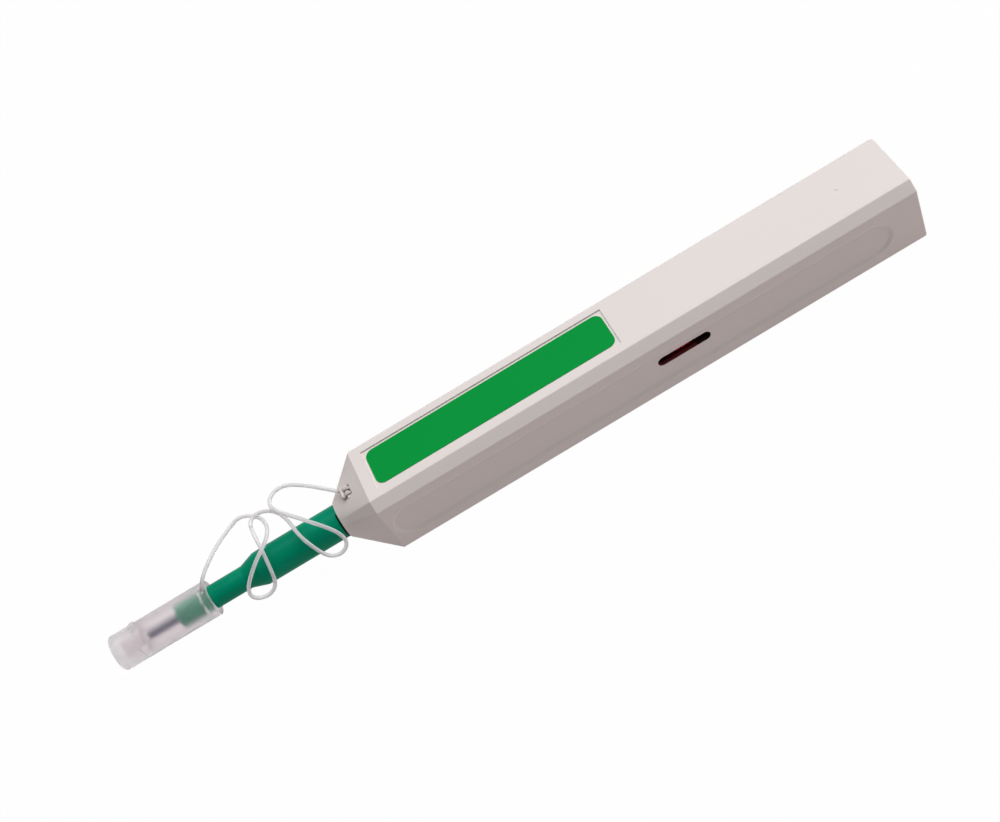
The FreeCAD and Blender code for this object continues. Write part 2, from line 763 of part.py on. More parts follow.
def thread_loop():
    """The working thread: out along one groove, over the tip's end, back along the other."""
    half = thread_size / 2.0
    outer = thread_offset + thread_size
    front = tip_front_x - thread_size
    loop = box(front, shaft_tail_x, -half, half, axis_z - outer, axis_z + outer)
    gap = box(tip_front_x, shaft_tail_x + 1, -1, 1, axis_z - thread_offset,
              axis_z + thread_offset)
    return loop.cut(gap)


def thread_run(points):
    """A length of free thread, straight between its guide points."""
    profile = polygon_about(points[0], points[1] - points[0], thread_size / 2.0, 6)
    return Part.makePolygon(points).makePipeShell([profile], True, True, 1)


def supply_run():
    """The thread from the supply reel, round its pin, to the shaft's upper groove."""
    y = -supply_fill - thread_size / 2.0 - loose_gap
    line_z = axis_z + thread_offset + thread_size / 2.0
    return thread_run([Vec(shaft_tail_x + thread_size, 0, line_z),
                       Vec(feed_pin[0] - thread_pin_radius - thread_size / 2.0, y, feed_line_z),
                       Vec(supply_x, y, feed_line_z)])


def used_run():
    """The thread from the shaft's lower groove, round its pin, to the take-up reel."""
    line_z = axis_z - thread_offset - thread_size / 2.0
    mid_z = (line_z + used_line_z) / 2.0
    pin_y = used_pin[1] - thread_pin_radius - thread_size / 2.0 - seam_gap
    return thread_run([Vec(shaft_tail_x + thread_size, 0, line_z),
                       Vec(used_pin[0] - thread_pin_radius, pin_y, mid_z),
                       Vec(takeup_x, -takeup_fill - thread_size / 2.0 - loose_gap,
                           used_line_z)])


def thread_pins():
    """The two steel pins that lead the thread round the reels."""
    low = carriage_bottom + 0.3
    used = rod_z(used_pin[0], used_pin[1], low, axis_z, thread_pin_radius)
    feed = rod_z(feed_pin[0], feed_pin[1], low, feed_line_z + 1.0, thread_pin_radius)
    return Part.makeCompound([used, feed])


# ---- springs --------------------------------------------------------------------------------------------
def polygon_about(centre, aim, radius, sides):
    """A regular polygon round a point, square to a direction."""
    circle = Part.makeCircle(radius, centre, aim)
    corners = [circle.valueAt(2.0 * math.pi * k / sides) for k in range(sides)]
    return Part.makePolygon(corners + [corners[0]])


def coil_x(x0, x1, radius, wire, turns, runs):
    """A coil spring along the pen's axis, each turn bent in equal short runs."""
    length = x1 - x0 - wire
    steps = turns * runs
    points = []
    for i in range(steps + 1):
        angle = 2.0 * math.pi * i / runs
        points.append(Vec(x0 + wire / 2.0 + length * i / steps, radius * math.cos(angle),
                          axis_z + radius * math.sin(angle)))
    path = Part.makePolygon(points)
    profile = polygon_about(points[0], points[1] - points[0], wire / 2.0, 6)
    return path.makePipeShell([profile], True, True, 1)


# ---- cap ----------------------------------------------------------------------------------------------------
def guide_cap():
    """The clear cap: collar on the nozzle, chamber round the tip, ferrule guide in front."""
    chamber = cap_radius - cap_wall
    collar = nozzle_small_radius + running_gap
    web_x = cap_front_x + cap_web
    bore = ferrule_bore / 2.0
    mouth_x = cap_front_x - spigot_length
    step = cap_radius - lid_wall - loose_gap
    cap = turned_x([
        (cap_rear_x, collar), (cap_rear_x, cap_radius - 0.2), (cap_rear_x - 0.2, cap_radius),
        (cap_front_x, cap_radius), (cap_front_x, step), (cap_front_x - lid_step, step),
        (cap_front_x - lid_step, spigot_radius), (mouth_x, spigot_radius),
        (mouth_x, bore + bore_lead), (mouth_x + bore_lead, bore), (web_x, bore),
        (web_x, chamber), (cap_rear_x - cap_collar - 0.6, chamber),
        (cap_rear_x - cap_collar, collar)])
    x = cap_rear_x - cap_collar / 2.0
    hole = rod_z(x, 0, axis_z + cap_radius - tether_hole_depth, axis_z + cap_radius + 1,
                 tether_diameter / 2.0 + 1.5 * loose_gap)
    return cap.cut(hole)


def cap_lid():
    """The flip lid that closes over the ferrule guide."""
    inner = cap_radius - lid_wall
    rim_x = cap_front_x - seam_gap
    return turned_x([
        (lid_front_x, 0.0), (lid_front_x, cap_radius - 0.4), (lid_front_x + 0.4, cap_radius),
        (rim_x, cap_radius), (rim_x, inner), (lid_front_x + lid_front, inner),
        (lid_front_x + lid_front, 0.0)])


def lid_strap():
    """The short film strap that hinges the lid to the cap."""
    low = cap_radius + 0.03
    high = cap_radius + strap_rise
    half = strap_length / 2.0
    points = [Vec(cap_front_x + a, 0, axis_z + r)
              for a, r in ((-half, low), (-half * 0.6, high), (half * 0.6, high), (half, low))]
    face = Part.Face(Part.makePolygon(points + [points[0]]))
    strap = face.revolve(Vec(0, 0, axis_z), Vec(1, 0, 0), strap_spread)
    return about_axis(strap, strap_angle - 90.0 - strap_spread / 2.0)


# ---- tether ---------------------------------------------------------------------------------------------------
# The clear line runs from the cap's collar to the nose eyelet in loose curls that
# drape over the nozzle, so its points are chosen one by one.
tether_points = [
    (-87.5, 0.0, 15.1), (-87.2, 0.1, 17.8), (-84.6, 2.0, 20.2), (-78.9, 5.9, 20.2),
    (-73.8, 8.9, 19.6), (-69.9, 11.0, 18.8), (-66.7, 10.6, 18.2), (-64.8, 7.7, 19.4),
    (-64.3, 2.4, 20.6), (-65.9, -1.8, 21.3), (-69.2, -4.0, 20.7), (-73.0, -6.4, 18.9),
    (-75.8, -7.7, 16.3), (-76.8, -8.5, 13.3), (-75.4, -8.8, 10.8), (-72.5, -8.8, 10.2),
    (-69.7, -8.3, 12.4), (-68.6, -6.3, 16.5), (-68.2, -1.3, 19.3), (-68.5, 4.0, 20.1),
    (-68.4, 7.6, 19.9), (-66.0, 9.2, 19.7), (-62.7, 8.0, 19.6), (-60.3, 4.9, 20.1),
    (-58.8, 0.9, 20.4), (-58.1, -3.9, 18.9), (-56.5, -7.2, 16.2), (-55.4, -8.3, 13.3),
    (-54.1, -8.8, 11.0), (-51.9, -9.0, 10.1), (-49.7, -8.8, 11.3), (-48.7, -8.3, 13.7),
    (-49.4, -7.0, 16.5),
    (-52.2, -4.5, 19.3), (-56.4, -0.8, 22.2), (-60.3, 3.8, 22.6), (-61.4, 6.6, 22.3),
    (-60.8, 9.4, 21.9), (-58.3, 11.0, 21.7), (-54.9, 10.6, 21.2), (-49.2, 6.2, 20.3),
    (-44.3, 1.3, 19.5)]


def rounded_route(points):
    """Straight runs joined by tangent arcs, with the radius and length of the route."""
    corners = [Vec(*p) for p in points]
    edges = []
    radii = []
    last = corners[0]
    for i in range(1, len(corners) - 1):
        back = corners[i - 1] - corners[i]
        ahead = corners[i + 1] - corners[i]
        shorter = min(back.Length, ahead.Length)
        turn = math.pi - back.getAngle(ahead)
        trim = 0.45 * shorter
        radius = trim / math.tan(turn / 2.0)
        back.normalize()
        ahead.normalize()
        start = corners[i] + back * trim
        end = corners[i] + ahead * trim
        centre = corners[i] + (back + ahead).normalize() * (radius / math.cos(turn / 2.0))
        middle = centre + (corners[i] - centre).normalize() * radius
        edges.append(Part.LineSegment(last, start).toShape())
        edges.append(Part.Arc(start, middle, end).toShape())
        radii.append(radius)
        last = end
    edges.append(Part.LineSegment(last, corners[-1]).toShape())
    return edges, radii


def tether():
    """The tether's tube, printed with its radii, length and volume."""
    edges, radii = rounded_route(tether_points)
    path = Part.Wire(edges)
    start = Vec(*tether_points[0])
    aim = Vec(*tether_points[1]) - start
    profile = polygon_about(start, aim, tether_diameter / 2.0, tether_sides)
    tube = path.makePipeShell([profile], True, False)
    expected = Part.Face(profile).Area * path.Length
    print("tether length %.1f, volume %.2f of %.2f" % (path.Length, tube.Volume, expected))
    print("tether radii", " ".join("%.1f" % r for r in radii))
    return tube


def tether_knot():
    """The hitch: two turns of line round the eyelet bar, joined by a strand in front."""
    place = eyelet_place()
    thickness = tether_diameter / 2.0 - 0.03
    lift = math.radians(hitch_angle)
    reach = Vec(-math.cos(lift), 0, math.sin(lift)) * hitch_reach
    half = (knot_spacing + tether_diameter) / 2.0
    knot = Part.makeCylinder(thickness, 2.0 * half, place + reach - Vec(0, half, 0),
                             Vec(0, 1, 0))
    for side in (-1, 1):
        corners = []
        for k in range(knot_bends + 1):
            angle = 2.0 * math.pi * k / knot_bends
            corners.append(place + Vec(knot_radius * math.cos(angle), side * knot_spacing / 2.0,
                                       knot_radius * math.sin(angle)))
        section = polygon_about(corners[0], corners[1] - corners[0], thickness, tether_sides)
        knot = knot.fuse(Part.makePolygon(corners).makePipeShell([section], True, True, 1))
    return knot


# ---- pieces ------------------------------------------------------------------------------------------------------
def build():
    """Every piece by its name."""
    seat_x = carriage_tail_x
    supply_low = supply_z + flange_thickness
    pieces = {
        "casing_shell": casing_shell(),
        "casing_cover": casing_cover(),
        "label": label(),
        "cam_pin": cam_pin(),
        "feed_rack": feed_rack(),
        "return_spring": coil_x(seat_x, tail_wall_x, spring_radius, spring_wire, spring_turns,
                                10),
        "tether": tether(),
        "tether_knot": tether_knot(),
        "nozzle_tube": nozzle_tube(),
        "carriage_base": carriage_base(),
        "carriage_plate": carriage_plate(),
        "supply_axle": axle(supply_x),
        "takeup_axle": axle(takeup_x),
        "shaft_bush": shaft_bush(),
        "thread_pins": thread_pins(),
        "supply_thread_run": supply_run(),
        "used_thread_run": used_run(),
        "tip_shaft": tip_shaft(),
        "thread_loop": thread_loop(),
        "tip_spring": coil_x(stem_end_x, socket_end_x, tip_spring_radius, tip_spring_wire,
                             tip_spring_turns, 6),
        "cleaning_tip": cleaning_tip(),
        "drive_pinion": drive_pinion(),
        "takeup_reel": takeup_reel(),
        "clutch_pawls": clutch_pawls(),
        "used_thread": thread_pack(takeup_x, thread_seat_z, dial_z, takeup_fill, hub_radius + 0.5),
        "supply_reel": supply_reel(),
        "supply_thread": thread_pack(supply_x, supply_low,
                                     supply_z + supply_height - flange_thickness,
                                     supply_fill, hub_radius),
        "guide_cap": guide_cap(),
        "cap_lid": cap_lid(),
        "lid_strap": lid_strap(),
    }
    return pieces


for name, shape in build().items():
    solids = shape.Solids
    state = "valid" if shape.isValid() else "NOT VALID"
    print("%-18s %d solid(s) %9.2f mm3 %s" % (name, len(solids), shape.Volume, state))
    shape.exportStep("parts/%s.step" % name)
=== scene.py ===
# %% [markdown]
# # A fibre connector cleaning pen
# The pen cleans the end of a fibre connector. Its nozzle goes over the connector's ferrule, and a
# push on the square casing winds a fresh bit of thread over a small tip. The CAD model holds
# every solid and every joint. This lesson dresses that model: it gives each solid its plastic or
# metal, makes the soft clear tether, winds the springs, makes the lid's film hinge, adds the
# knurled rim of the dial, and sets the floor, the light and the camera.

# %% [markdown]
# ## The frame
# The CAD model is read with its record, and each node's mesh is kept by name, with its place
# baked in.

# %% Load the frame
import json
import math

import bpy
import numpy as np
from mathutils import Matrix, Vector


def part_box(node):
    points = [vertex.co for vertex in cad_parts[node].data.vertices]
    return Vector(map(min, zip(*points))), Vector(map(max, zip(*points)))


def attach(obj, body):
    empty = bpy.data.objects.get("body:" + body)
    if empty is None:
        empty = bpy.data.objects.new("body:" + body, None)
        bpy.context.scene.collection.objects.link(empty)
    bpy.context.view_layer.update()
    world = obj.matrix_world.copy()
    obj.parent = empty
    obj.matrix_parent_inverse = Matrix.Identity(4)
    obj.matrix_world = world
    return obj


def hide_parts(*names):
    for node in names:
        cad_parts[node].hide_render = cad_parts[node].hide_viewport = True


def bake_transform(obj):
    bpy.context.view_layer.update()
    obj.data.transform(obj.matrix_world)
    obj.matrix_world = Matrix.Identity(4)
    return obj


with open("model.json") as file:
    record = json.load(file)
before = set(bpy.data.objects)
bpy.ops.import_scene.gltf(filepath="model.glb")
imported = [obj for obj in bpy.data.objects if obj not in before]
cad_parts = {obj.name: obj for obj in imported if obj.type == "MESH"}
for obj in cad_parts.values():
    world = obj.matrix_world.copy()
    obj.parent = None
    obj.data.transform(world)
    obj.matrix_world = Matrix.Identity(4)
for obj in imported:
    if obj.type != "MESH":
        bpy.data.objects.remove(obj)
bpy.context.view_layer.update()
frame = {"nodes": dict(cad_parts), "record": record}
nodes = frame["nodes"]
print("nodes in the frame:", len(nodes))

# %% [markdown]
# ## Camera
# The pen lies on a table and is seen from above its slotted side, with the tail up on the right.
# A long lens keeps its edges almost parallel. The camera's place and its three directions are
# written as vectors, because that is all that a camera's matrix holds: right, up and back.

# %% Place the camera
eye = np.array([0.012798, -0.258136, 0.325858])
look_right = np.array([0.857498, -0.378199, -0.348803])
look_up = np.array([0.513593, 0.669217, 0.537002])
look_back = np.cross(look_right, look_up)
lens_mm = 57.98

camera_data = bpy.data.cameras.new("camera")
camera_data.lens = lens_mm
camera_data.sensor_width = 36.0
camera_data.clip_start = 0.01
camera = bpy.data.objects.new("camera", camera_data)
turn = Matrix([look_right, look_up, look_back]).transposed().to_4x4()
camera.matrix_world = Matrix.Translation(eye.tolist()) @ turn
bpy.context.scene.collection.objects.link(camera)
bpy.context.scene.camera = camera
print("camera %.0f mm from the pen" % (1000 * np.linalg.norm(eye)))

# %% [markdown]
# ## Two helpers for materials
# A material in Blender is a small graph: nodes that work out a colour or a height, links between
# them, and an output. Every finish below is written as such a graph, so one helper starts an
# empty one and another adds a node with its values and links in a single line.

# %% Write two helpers for node materials
def new_material(name):
    """An empty node material with its output, ready for shaders."""
    material = bpy.data.materials.new(name)
    material.use_nodes = True
    material.node_tree.nodes.clear()
    out = material.node_tree.nodes.new("ShaderNodeOutputMaterial")
    return material, material.node_tree, out


def add(tree, kind, settings=None, **inputs):
    """A shader node with its settings and with values or links for its inputs."""
    made = tree.nodes.new(kind)
    for key, value in (settings or {}).items():
        setattr(made, key, value)
    for key, value in inputs.items():
        socket = made.inputs[key.replace("_", " ")]
        if isinstance(value, bpy.types.NodeSocket):
            tree.links.new(value, socket)
        else:
            socket.default_value = value
    return made


print("material helpers ready")

# %% [markdown]
# ## Floor and light
# Product pictures of pale plastic need a light that is soft and comes mostly from above, so that
# the top face is the brightest, the slanted edge is a little darker and the side is half as
# bright. One large lamp above and behind the pen does that, and a white sky fills the shadows.
# The floor is one big square. It shows as white to the camera and still takes a faint shadow,
# because its shader mixes a plain emission into a diffuse surface.

# %% Build the floor
floor_glow = 0.985
table_glow = 0.39
floor_colour = (0.66, 0.53, 0.52)


def floor_material():
    """White to the camera, to gloss and through glass, and diffuse to the light."""
    material, tree, out = new_material("pale floor")
    matt = add(tree, "ShaderNodeBsdfDiffuse", Color=(*floor_colour, 1.0))
    white = add(tree, "ShaderNodeEmission", Color=(1.0, 1.0, 1.0, 1.0), Strength=1.0)
    ray = add(tree, "ShaderNodeLightPath")
    clear = add(tree, "ShaderNodeMath", {"operation": "MAXIMUM"})
    tree.links.new(ray.outputs["Is Camera Ray"], clear.inputs[0])
    tree.links.new(ray.outputs["Is Transmission Ray"], clear.inputs[1])
    glow = add(tree, "ShaderNodeMapRange", Value=clear.outputs[0], To_Min=table_glow,
               To_Max=floor_glow)
    mixed = add(tree, "ShaderNodeMixShader", Fac=glow.outputs["Result"])
    tree.links.new(matt.outputs[0], mixed.inputs[1])
    tree.links.new(white.outputs[0], mixed.inputs[2])
    tree.links.new(mixed.outputs[0], out.inputs["Surface"])
    return material


floor_half = 3.0
floor_mesh = bpy.data.meshes.new("floor")
floor_corners = [(-floor_half, -floor_half, 0), (floor_half, -floor_half, 0),
                 (floor_half, floor_half, 0), (-floor_half, floor_half, 0)]
floor_mesh.from_pydata(floor_corners, [], [(0, 1, 2, 3)])
floor_mesh.materials.append(floor_material())
floor = bpy.data.objects.new("floor", floor_mesh)
bpy.context.scene.collection.objects.link(floor)
print("floor %.0f m wide" % (2 * floor_half))

# %% [markdown]
# The sky is brighter on the lamp's side: a dot product with one direction gives each part of the
# sky its strength. To the camera, and through clear plastic, the room is plain white.

# %% Light the sky
sky_strength = 0.23
sky_slope = 0.21
bright_side = (0.7, 0.7, 0.1)

world = bpy.data.worlds.new("white room")
world.use_nodes = True
bpy.context.scene.world = world
world.node_tree.nodes.clear()
toward = add(world.node_tree, "ShaderNodeTexCoord").outputs["Generated"]
lean = add(world.node_tree, "ShaderNodeVectorMath", {"operation": "DOT_PRODUCT"})
world.node_tree.links.new(toward, lean.inputs[0])
lean.inputs[1].default_value = bright_side
level = add(world.node_tree, "ShaderNodeMapRange", Value=lean.outputs["Value"], From_Min=-1.0,
            From_Max=1.0, To_Min=sky_strength - sky_slope, To_Max=sky_strength + sky_slope)
sky = add(world.node_tree, "ShaderNodeBackground", Color=(1.0, 1.0, 1.0, 1.0),
          Strength=level.outputs["Result"])
backdrop = add(world.node_tree, "ShaderNodeBackground", Color=(1.0, 1.0, 1.0, 1.0), Strength=1.0)
rays = add(world.node_tree, "ShaderNodeLightPath")
either = add(world.node_tree, "ShaderNodeMath", {"operation": "MAXIMUM"})
world.node_tree.links.new(rays.outputs["Is Camera Ray"], either.inputs[0])
world.node_tree.links.new(rays.outputs["Is Transmission Ray"], either.inputs[1])
room = add(world.node_tree, "ShaderNodeMixShader", Fac=either.outputs[0])
world.node_tree.links.new(sky.outputs[0], room.inputs[1])
world.node_tree.links.new(backdrop.outputs[0], room.inputs[2])
add(world.node_tree, "ShaderNodeOutputWorld", Surface=room.outputs[0])
print("sky %.2f, more or less by %.2f" % (sky_strength, sky_slope))

# %% [markdown]
# The lamp is nearly two metres off and more than two metres wide, so every shadow it throws is
# soft. It shines along its own minus z, so its z axis is the direction from the pen to the lamp.

# %% Hang the lamp
lamp_place = np.array([0.62, 0.42, 1.76])
lamp_size = 2.2
lamp_watts = 40.2
lamp_data = bpy.data.lights.new("window", "AREA")
lamp_data.shape = "SQUARE"
lamp_data.size = lamp_size
lamp_data.energy = lamp_watts
lamp = bpy.data.objects.new("window", lamp_data)
lamp_back = lamp_place / np.linalg.norm(lamp_place)
lamp_right = np.cross([0, 0, 1], lamp_back)
lamp_right /= np.linalg.norm(lamp_right)
lamp_turn = Matrix([lamp_right, np.cross(lamp_back, lamp_right), lamp_back]).transposed()
lamp.matrix_world = Matrix.Translation(lamp_place.tolist()) @ lamp_turn.to_4x4()
bpy.context.scene.collection.objects.link(lamp)
bpy.context.scene.view_settings.view_transform = "Standard"
print("lamp %.1f W at %.2f m" % (lamp_watts, np.linalg.norm(lamp_place)))

# %% [markdown]
# ## Plastics
# Nearly every piece here is moulded. A moulded face is never quite even: the mould's fine etched
# texture breaks up the gloss, and the colour drifts a little where the plastic flowed. An image
# texture could show that, but it would need the surface laid out flat. Noise worked out in space
# needs no layout, so one helper makes them all, from a colour, a second colour for the drift, a
# grain size and a depth. The noise reads Object coordinates, which stay with the piece when it
# moves.

# %% Write the moulded finish
drift_scale = 28.0
gloss_swing = 0.05


def moulded(name, colour, drift, roughness, grain_mm, depth_mm, shine=0.5, clear=0.0):
    """Moulded plastic: slow colour drift, fine grain in height and a little in roughness."""
    material, tree, out = new_material(name)
    place = add(tree, "ShaderNodeTexCoord").outputs["Object"]
    slow = add(tree, "ShaderNodeTexNoise", Vector=place, Scale=drift_scale, Detail=3.0)
    fine = add(tree, "ShaderNodeTexNoise", Vector=place, Scale=1000.0 / grain_mm, Detail=2.0)
    tint = add(tree, "ShaderNodeMix", {"data_type": "RGBA"})
    tint.inputs["A"].default_value = (*colour, 1.0)
    tint.inputs["B"].default_value = (*drift, 1.0)
    tree.links.new(slow.outputs["Fac"], tint.inputs["Factor"])
    gloss = add(tree, "ShaderNodeMapRange", Value=fine.outputs["Fac"],
                To_Min=roughness - gloss_swing, To_Max=roughness + gloss_swing)
    relief = add(tree, "ShaderNodeBump", Height=fine.outputs["Fac"], Strength=1.0,
                 Distance=depth_mm / 1000.0)
    skin = add(tree, "ShaderNodeBsdfPrincipled", Roughness=gloss.outputs["Result"],
               Normal=relief.outputs["Normal"])
    tree.links.new(tint.outputs["Result"], skin.inputs["Base Color"])
    skin.inputs["Specular IOR Level"].default_value = shine
    skin.inputs["Transmission Weight"].default_value = clear
    tree.links.new(skin.outputs[0], out.inputs["Surface"])
    return material


print("colour drifts over about %.0f mm" % (1000.0 / drift_scale))

# %% [markdown]
# The casing is a warm matt cream. The label is a printed film with hardly any gloss. The nozzle
# is a deep bluish green. The dial is a strong red, so that its turn is easy to see. Each line
# gives the two colours, the roughness, and the grain and its depth in millimetres.

# %% Choose the moulded finishes
finishes = {
    "casing_plastic": moulded("matt cream", (0.76, 0.70, 0.68), (0.79, 0.725, 0.705),
                              0.55, 0.35, 0.006, shine=0.35),
    "label_green": moulded("label film", (0.001, 0.29, 0.044), (0.002, 0.31, 0.05),
                           0.5, 0.8, 0.002, shine=0.03),
    "nozzle_green": moulded("nozzle green", (0.0, 0.235, 0.13), (0.0, 0.262, 0.145),
                            0.3, 0.5, 0.003, shine=0.06),
    "tip_blue": moulded("tip blue", (0.05, 0.06, 0.12), (0.07, 0.08, 0.15), 0.4, 0.3, 0.003),
    "frame_plastic": moulded("frame plastic", (0.30, 0.31, 0.33), (0.34, 0.35, 0.37),
                             0.5, 0.4, 0.004),
    "reel_red": moulded("dial red", (0.62, 0.012, 0.02), (0.70, 0.018, 0.03), 0.4, 0.4, 0.004),
}
print("moulded finishes:", len(finishes))

# %% [markdown]
# The slot's walls are in the dial's shade, so shade is painted on them, darkest towards the tail,
# with a dark red in front as a painted reflection of the dial. Three Compare nodes on Object
# coordinates pick out a small block round the walls, from just inside the slot's mouth. The same
# helper paints light into the eyelet's channel against its shade, and paints shade on the nozzle
# where the casing's ring shades it.

# %% Write the shade
def shade_block(material, middle, half, colour):
    """Mixes a colour into a plastic where all three coordinates are within half of middle."""
    tree = material.node_tree
    skin = next(node for node in tree.nodes if node.type == "BSDF_PRINCIPLED")
    tint = skin.inputs["Base Color"].links[0].from_socket
    place = add(tree, "ShaderNodeTexCoord").outputs["Object"]
    parts = add(tree, "ShaderNodeSeparateXYZ", Vector=place)
    inside = None
    for axis, about, reach in zip("XYZ", middle, half):
        near = add(tree, "ShaderNodeMath", {"operation": "COMPARE"})
        tree.links.new(parts.outputs[axis], near.inputs[0])
        near.inputs[1].default_value = about
        near.inputs[2].default_value = reach
        if inside is None:
            inside = near.outputs[0]
            continue
        both = add(tree, "ShaderNodeMath", {"operation": "MULTIPLY"})
        tree.links.new(inside, both.inputs[0])
        tree.links.new(near.outputs[0], both.inputs[1])
        inside = both.outputs[0]
    shaded = add(tree, "ShaderNodeMix", {"data_type": "RGBA"})
    shaded.inputs["B"].default_value = (*colour, 1.0)
    tree.links.new(tint, shaded.inputs["A"])
    tree.links.new(inside, shaded.inputs["Factor"])
    tree.links.new(shaded.outputs["Result"], skin.inputs["Base Color"])


print("shade helper ready")

# %% [markdown]
# The slot's block is found from the dial and from the casing's front face, because both are known
# from the frame. The tail block is a second, darker one, half a slot further on. The eyelet and
# the nozzle's root are one block each.

# %% Paint shade into the slot and onto the nozzle's root, and light into the eyelet
reel_low, reel_high = (np.array(corner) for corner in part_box("takeup_reel"))
dial_half = 0.0015
dial_centre = (reel_low + reel_high) / 2.0
dial_centre[2] = reel_high[2] - dial_half
shell_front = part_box("casing_shell")[0][1]
slot_depth = 0.00125
slot_half = (0.0078, 0.00065, 0.00158)
# painted shade on the slot's walls, with a dark red painted reflection of the dial
slot_painted_shade_and_reflection = (0.16, 0.03, 0.03)
tail_half = (0.0045, 0.00065, 0.00158)
# darker painted shade at the slot's tail end
tail_painted_shade = (0.02, 0.008, 0.008)
slot_middle = np.array([dial_centre[0], shell_front + slot_depth, dial_centre[2]])
tail_middle = slot_middle + (slot_half[0], 0.0, 0.0)
shade_block(finishes["casing_plastic"], slot_middle, slot_half, slot_painted_shade_and_reflection)
shade_block(finishes["casing_plastic"], tail_middle, tail_half, tail_painted_shade)

eyelet_middle = (-0.0426, 0.0002, 0.0173)
eyelet_half = (0.0016, 0.0017, 0.0009)
# painted light in the eyelet's channel, against the shade there
eyelet_painted_light = (0.92, 0.88, 0.87)
shade_block(finishes["casing_plastic"], eyelet_middle, eyelet_half, eyelet_painted_light)

ring_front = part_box("casing_shell")[0][0]
root_middle = (ring_front - 0.0002, -0.0047, 0.011)
root_half = (0.0004, 0.0036, 0.006)
root_dark = (0.0, 0.022, 0.012)
shade_block(finishes["nozzle_green"], root_middle, root_half, root_dark)
print("slot shade about", np.round(1000 * slot_middle, 2).tolist(), "mm")

# %% [markdown]
# Three finishes need graphs of their own. Steel has fine marks in its roughness. The thread has a
# wave across it for its twist. The join is a Principled shader with no opacity, for the ends of
# two clear lengths that meet.

# %% Write steel, thread and the join
steel_grey = (0.55, 0.56, 0.58)
steel_gloss = (0.22, 0.4)
steel_marks = 1800.0


def steel():
    """Bright drawn steel: fine noise in the roughness stands for the marks of drawing."""
    material, tree, out = new_material("bright steel")
    place = add(tree, "ShaderNodeTexCoord").outputs["Object"]
    marks = add(tree, "ShaderNodeTexNoise", Vector=place, Scale=steel_marks, Detail=4.0)
    gloss = add(tree, "ShaderNodeMapRange", Value=marks.outputs["Fac"], To_Min=steel_gloss[0],
                To_Max=steel_gloss[1])
    skin = add(tree, "ShaderNodeBsdfPrincipled", Roughness=gloss.outputs["Result"])
    skin.inputs["Base Color"].default_value = (*steel_grey, 1.0)
    skin.inputs["Metallic"].default_value = 1.0
    tree.links.new(skin.outputs[0], out.inputs["Surface"])
    return material


def join():
    """Lets every ray through: two clear lengths that meet end to end look like one."""
    material, tree, out = new_material("join")
    skin = add(tree, "ShaderNodeBsdfPrincipled", Alpha=0.0)
    tree.links.new(skin.outputs[0], out.inputs["Surface"])
    return material


thread_shadow = (0.62, 0.60, 0.56)
thread_light = (0.86, 0.85, 0.82)
twist_scale = 900.0
twist_depth = 0.00003


def woven_thread():
    """White microfibre thread: a fine wave across it stands for the twist."""
    material, tree, out = new_material("white thread")
    place = add(tree, "ShaderNodeTexCoord").outputs["Object"]
    twist = add(tree, "ShaderNodeTexWave", {"bands_direction": "DIAGONAL"}, Vector=place,
                Scale=twist_scale, Distortion=2.0)
    tint = add(tree, "ShaderNodeMix", {"data_type": "RGBA"})
    tint.inputs["A"].default_value = (*thread_shadow, 1.0)
    tint.inputs["B"].default_value = (*thread_light, 1.0)
    tree.links.new(twist.outputs["Fac"], tint.inputs["Factor"])
    relief = add(tree, "ShaderNodeBump", Height=twist.outputs["Fac"], Distance=twist_depth)
    skin = add(tree, "ShaderNodeBsdfPrincipled", Roughness=0.9, Normal=relief.outputs["Normal"])
    tree.links.new(tint.outputs["Result"], skin.inputs["Base Color"])
    tree.links.new(skin.outputs[0], out.inputs["Surface"])
    return material


print("steel, thread and join ready")

# %% [markdown]
# Clear plastic is the moulded finish again, with most of its light let through and a rough
# surface that frosts what is behind it. The cap and its lid are nearly clear. The tether lets
# only half of the light through, and its knot, where the line lies over itself, looks milky.

# %% Make the other finishes
finishes["steel"] = steel()
finishes["join"] = join()
finishes["thread"] = woven_thread()
finishes["cap_clear"] = moulded("frosted cap", (0.91, 0.86, 0.88), (0.93, 0.88, 0.90),
                                0.38, 0.6, 0.004, clear=0.95)
finishes["lid_clear"] = moulded("frosted lid", (0.99, 0.96, 0.97), (1.0, 0.97, 0.98),
                                0.48, 0.6, 0.004, clear=0.93)
finishes["tether_clear"] = moulded("clear line", (0.89, 0.87, 0.89), (0.91, 0.89, 0.91),
                                   0.35, 6.0, 0.0, clear=0.55)
finishes["knot_clear"] = moulded("milky knot", (0.72, 0.67, 0.65), (0.76, 0.71, 0.69),
                                 0.6, 2.0, 0.0, clear=0.1)
print("finishes:", len(finishes))

# %% [markdown]
# The frame's record names a material slot for each node. Each node gets the finish of its slot.
# The knot and the cap's lid share a slot with a clearer neighbour, so they get their own after
# that.

# %% Dress the CAD nodes
slot_of = {part["node"]: part["material_slot"] for part in frame["record"]["subparts"]}
for name, piece in nodes.items():
    piece.data.materials.clear()
    piece.data.materials.append(finishes[slot_of[name]])
nodes["tether_knot"].data.materials[0] = finishes["knot_clear"]
nodes["cap_lid"].data.materials[0] = finishes["lid_clear"]
print("dressed nodes:", len(nodes))
